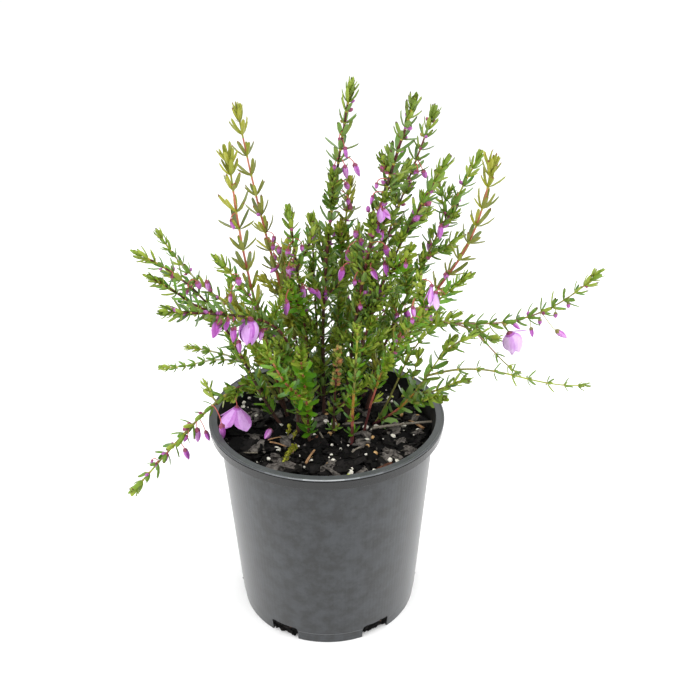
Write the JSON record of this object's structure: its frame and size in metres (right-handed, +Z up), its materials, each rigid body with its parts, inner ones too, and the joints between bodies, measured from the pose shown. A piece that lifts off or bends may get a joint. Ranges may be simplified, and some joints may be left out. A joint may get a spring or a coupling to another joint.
{
  "type": "potted black-eyed susan shrub",
  "caption": "Small heath-like flowering shrub with slender leafy shoots, nodding buds and bells, in bark mix in a round black plastic nursery pot.",
  "frame": {"origin": "centre of the pot's flat underside", "axes": "+Z up through the pot and plant, -Y towards the front that the picture shows, +X to its right"},
  "size_m": [0.2805, 0.1886, 0.3184],
  "materials": {
    "pot_plastic": "satin injection-moulded black polypropylene",
    "potting_mix": "rough composted bark",
    "stem_bark": "matt red-brown young bark",
    "green_foliage": "soft satin leaf",
    "lime_foliage": "soft satin young leaf"
  },
  "bodies": {
    "root": {"pot": "pot_plastic", "potting_mix": "potting_mix", "stem_left_rear_spire": "stem_bark", "stem_left_lime_spire": "stem_bark", "stem_centre_spire": "stem_bark", "stem_right_dark_spire": "stem_bark", "stem_right_rear_spire": "stem_bark", "stem_right_bud_spray": "stem_bark", "stem_right_plume": "stem_bark", "stem_red_stem_arch": "stem_bark", "stem_right_short_spray": "stem_bark", "stem_low_right_spray": "stem_bark", "stem_left_high_plume": "stem_bark", "stem_left_arm": "stem_bark", "stem_left_upper_spray": "stem_bark", "stem_left_front_arm": "stem_bark", "stem_left_low_arm": "stem_bark", "stem_left_drooping_arm": "stem_bark", "stem_front_lime_spire": "stem_bark", "stem_front_lime_spray": "stem_bark", "stem_front_bud_spike": "stem_bark", "stem_centre_left_spray": "stem_bark", "stem_centre_rear_spray": "stem_bark", "stem_centre_lime_spray": "stem_bark", "stem_long_right_arm": "stem_bark", "stem_back_low_left": "stem_bark", "stem_back_left": "stem_bark", "stem_back_centre": "stem_bark", "stem_back_high": "stem_bark", "stem_back_right": "stem_bark", "stem_back_low_right": "stem_bark", "spray_left_rear_spire": "lime_foliage", "spray_left_lime_spire": "lime_foliage", "spray_centre_spire": "green_foliage", "spray_right_dark_spire": "green_foliage", "spray_right_rear_spire": "green_foliage", "spray_right_bud_spray": "green_foliage", "spray_right_plume": "green_foliage", "spray_red_stem_arch": "lime_foliage", "spray_right_short_spray": "green_foliage", "spray_low_right_spray": "green_foliage", "spray_left_high_plume": "green_foliage", "spray_left_arm": "green_foliage", "spray_left_upper_spray": "green_foliage", "spray_left_front_arm": "green_foliage", "spray_left_low_arm": "green_foliage", "spray_left_drooping_arm": "green_foliage", "spray_front_lime_spire": "lime_foliage", "spray_front_lime_spray": "lime_foliage", "spray_front_bud_spike": "green_foliage", "spray_centre_left_spray": "green_foliage", "spray_centre_rear_spray": "green_foliage", "spray_centre_lime_spray": "lime_foliage", "spray_long_right_arm": "green_foliage", "spray_back_low_left": "green_foliage", "spray_back_left": "green_foliage", "spray_back_centre": "green_foliage", "spray_back_high": "green_foliage", "spray_back_right": "green_foliage", "spray_back_low_right": "green_foliage"}
  },
  "joints": []
}
